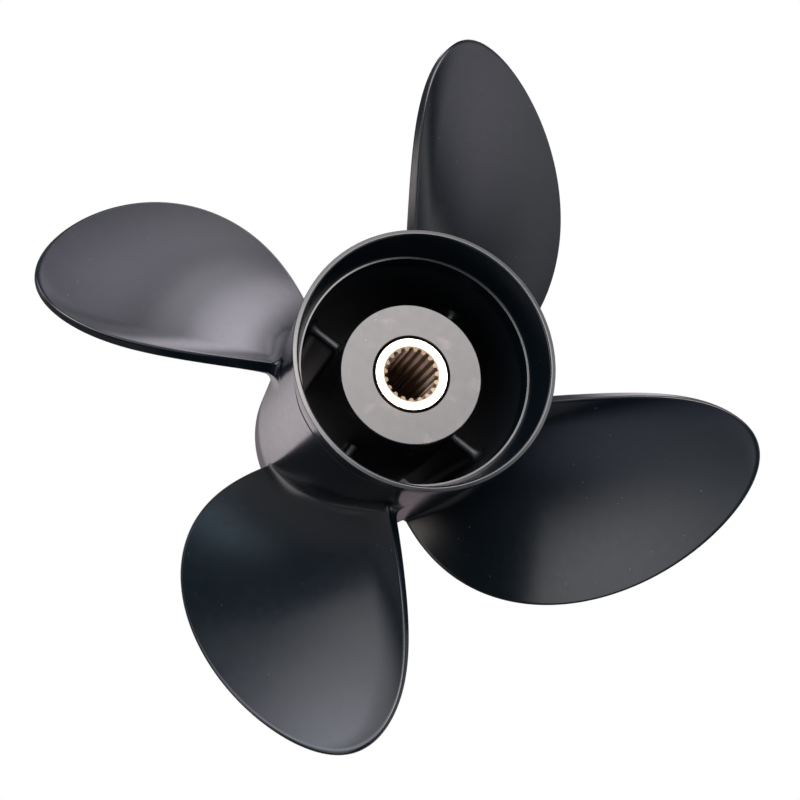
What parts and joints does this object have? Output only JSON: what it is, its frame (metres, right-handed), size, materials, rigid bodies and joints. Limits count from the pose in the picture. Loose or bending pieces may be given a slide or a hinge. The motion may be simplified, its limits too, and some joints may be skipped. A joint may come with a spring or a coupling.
{
  "type": "boat propeller",
  "caption": "Right-hand boat propeller with broad cupped blades, an exhaust passage through its ribbed hub, a rubber bush and a splined sleeve.",
  "frame": {"origin": "centre of the barrel's front face, on the shaft axis, on which the propeller stands", "axes": "+Z along the shaft axis, pointing aft out of the exhaust mouth; +X between two of the hub's ribs"},
  "size_m": [0.3396, 0.3396, 0.167],
  "materials": {
    "black_paint": "satin black paint on cast aluminium",
    "bush_rubber": "matt black rubber",
    "sleeve_brass": "machined brass, dulled inside the splines"
  },
  "bodies": {
    "root": {"outer_barrel": "black_paint", "inner_hub": "black_paint", "rib_1": "black_paint", "rib_2": "black_paint", "rib_3": "black_paint", "rib_4": "black_paint", "blade_1": "black_paint", "blade_2": "black_paint", "blade_3": "black_paint", "blade_4": "black_paint", "rubber_bush": "bush_rubber", "splined_sleeve": "sleeve_brass"}
  },
  "joints": []
}
